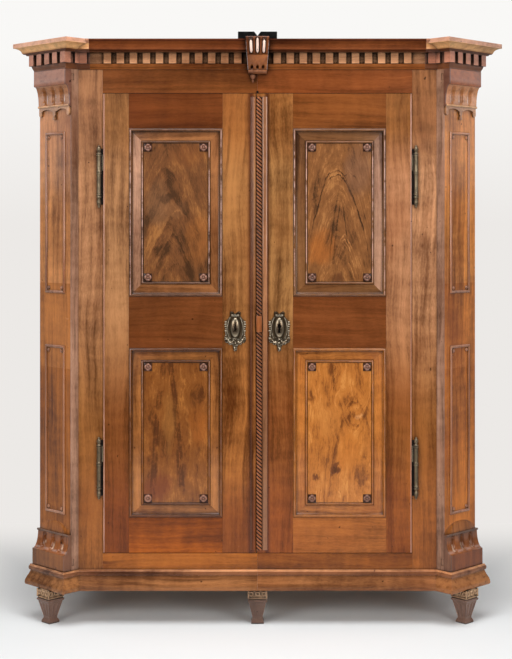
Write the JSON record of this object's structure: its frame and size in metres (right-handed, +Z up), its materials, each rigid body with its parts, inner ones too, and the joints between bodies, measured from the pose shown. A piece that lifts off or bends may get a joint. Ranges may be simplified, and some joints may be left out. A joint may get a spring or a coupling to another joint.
{
  "type": "cupboard",
  "caption": "Free-standing walnut wardrobe with canted pilaster corners, dentil cornice, fielded panel doors on barrel hinges, inside shelves and square tapered feet",
  "frame": {"origin": "on the floor, under the middle of the outer box", "axes": "+X to the right as seen from the front, +Y to the back, +Z up"},
  "size_m": [1.7626, 0.6312, 2.0878],
  "materials": {
    "walnut_case": "satin",
    "walnut_rail": "satin",
    "walnut_panel": "satin",
    "walnut_cornice": "satin",
    "walnut_cap": "satin",
    "walnut_foot": "satin",
    "inner_wood": "matte",
    "iron": "matte",
    "brass_old": "satin"
  },
  "bodies": {
    "case": {"side_left": "walnut_case", "side_right": "walnut_case", "front_stile_left": "walnut_case", "front_stile_right": "walnut_case", "pilaster_left": "walnut_case", "pilaster_right": "walnut_case", "capital_left": "walnut_case", "capital_right": "walnut_case", "base_console_left": "walnut_case", "base_console_right": "walnut_case", "base_rail_left": "walnut_rail", "base_rail_right": "walnut_rail", "frieze_rail_left": "walnut_rail", "frieze_rail_right": "walnut_rail", "plinth_left": "walnut_rail", "plinth_right": "walnut_rail", "cornice_left": "walnut_cornice", "cornice_right": "walnut_cornice", "cornice_end_left": "walnut_cap", "cornice_end_right": "walnut_cap", "keystone": "walnut_cap", "foot_front_left": "walnut_foot", "foot_front_right": "walnut_foot", "foot_front_centre": "walnut_foot", "foot_back_left": "walnut_foot", "foot_back_centre": "walnut_foot", "foot_back_right": "walnut_foot", "back": "inner_wood", "bottom_board": "inner_wood", "shelf_lower": "inner_wood", "shelf_upper": "inner_wood", "top_board": "inner_wood", "tie_iron": "iron", "hinge_left_lower_case": "brass_old", "hinge_left_upper_case": "brass_old", "hinge_right_lower_case": "brass_old", "hinge_right_upper_case": "brass_old"},
    "door_left": {"door_left_hinge_stile": "walnut_rail", "door_left_meeting_stile": "walnut_rail", "door_left_bottom_rail": "walnut_rail", "door_left_lock_rail": "walnut_rail", "door_left_top_rail": "walnut_rail", "door_left_lower_panel": "walnut_panel", "door_left_upper_panel": "walnut_panel", "escutcheon_left": "brass_old", "hinge_left_lower_leaf": "brass_old", "hinge_left_upper_leaf": "brass_old"},
    "door_right": {"door_right_hinge_stile": "walnut_rail", "door_right_meeting_stile": "walnut_rail", "door_right_bottom_rail": "walnut_rail", "door_right_lock_rail": "walnut_rail", "door_right_top_rail": "walnut_rail", "door_right_lower_panel": "walnut_panel", "door_right_upper_panel": "walnut_panel", "escutcheon_right": "brass_old", "meeting_strip": "walnut_rail", "lock_case": "iron", "hinge_right_lower_leaf": "brass_old", "hinge_right_upper_leaf": "brass_old"},
    "bolt": {"lock_bolt": "iron"}
  },
  "joints": [
    {"name": "door_left_hinge", "type": "hinge", "parent": "case", "child": "door_left", "pos_m": [-0.5576, -0.22441, 1.06], "axis": [0, 0, -1], "range_deg": [0, 150]},
    {"name": "door_right_hinge", "type": "hinge", "parent": "case", "child": "door_right", "pos_m": [0.5576, -0.22441, 1.06], "axis": [0, 0, 1], "range_deg": [0, 150]},
    {"name": "lock_bolt_slide", "type": "slide", "parent": "door_right", "child": "bolt", "axis": [-1, 0, 0], "range_m": [0, 0.014]}
  ]
}
